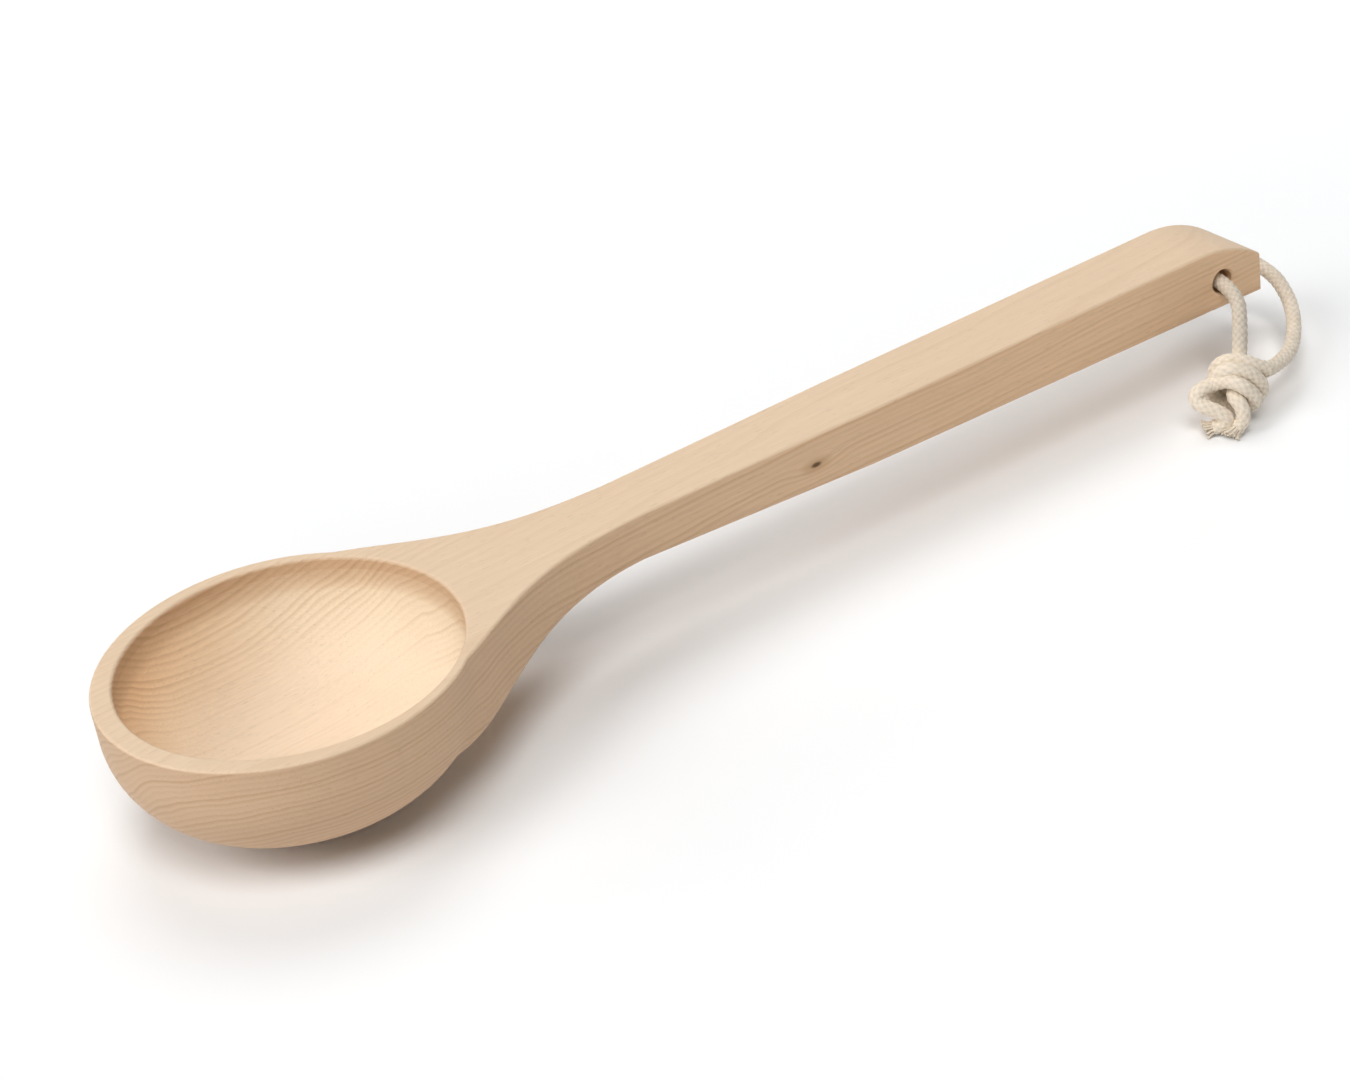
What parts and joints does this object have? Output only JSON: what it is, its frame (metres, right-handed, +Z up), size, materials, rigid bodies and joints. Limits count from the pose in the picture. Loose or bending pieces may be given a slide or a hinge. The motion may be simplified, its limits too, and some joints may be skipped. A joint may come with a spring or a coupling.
{
  "type": "sauna ladle",
  "caption": "Wooden ladle with a round flat-footed bowl, a level handle carved from the same piece, a drilled end and a knotted hanging cord.",
  "frame": {"origin": "on the upright axis of the bowl's outside, in the plane of its flat foot", "axes": "+X along the handle towards its end, +Y to the side away from the cord's knot, +Z up"},
  "size_m": [0.4143, 0.105, 0.045],
  "materials": {
    "ladle_wood": "smooth, oiled or bare, close straight grain",
    "cord": "soft twisted cotton, matte"
  },
  "bodies": {
    "root": {"wooden_sauna_ladle": "ladle_wood", "hanging_cord": "cord", "cord_knot": "cord"}
  },
  "joints": []
}
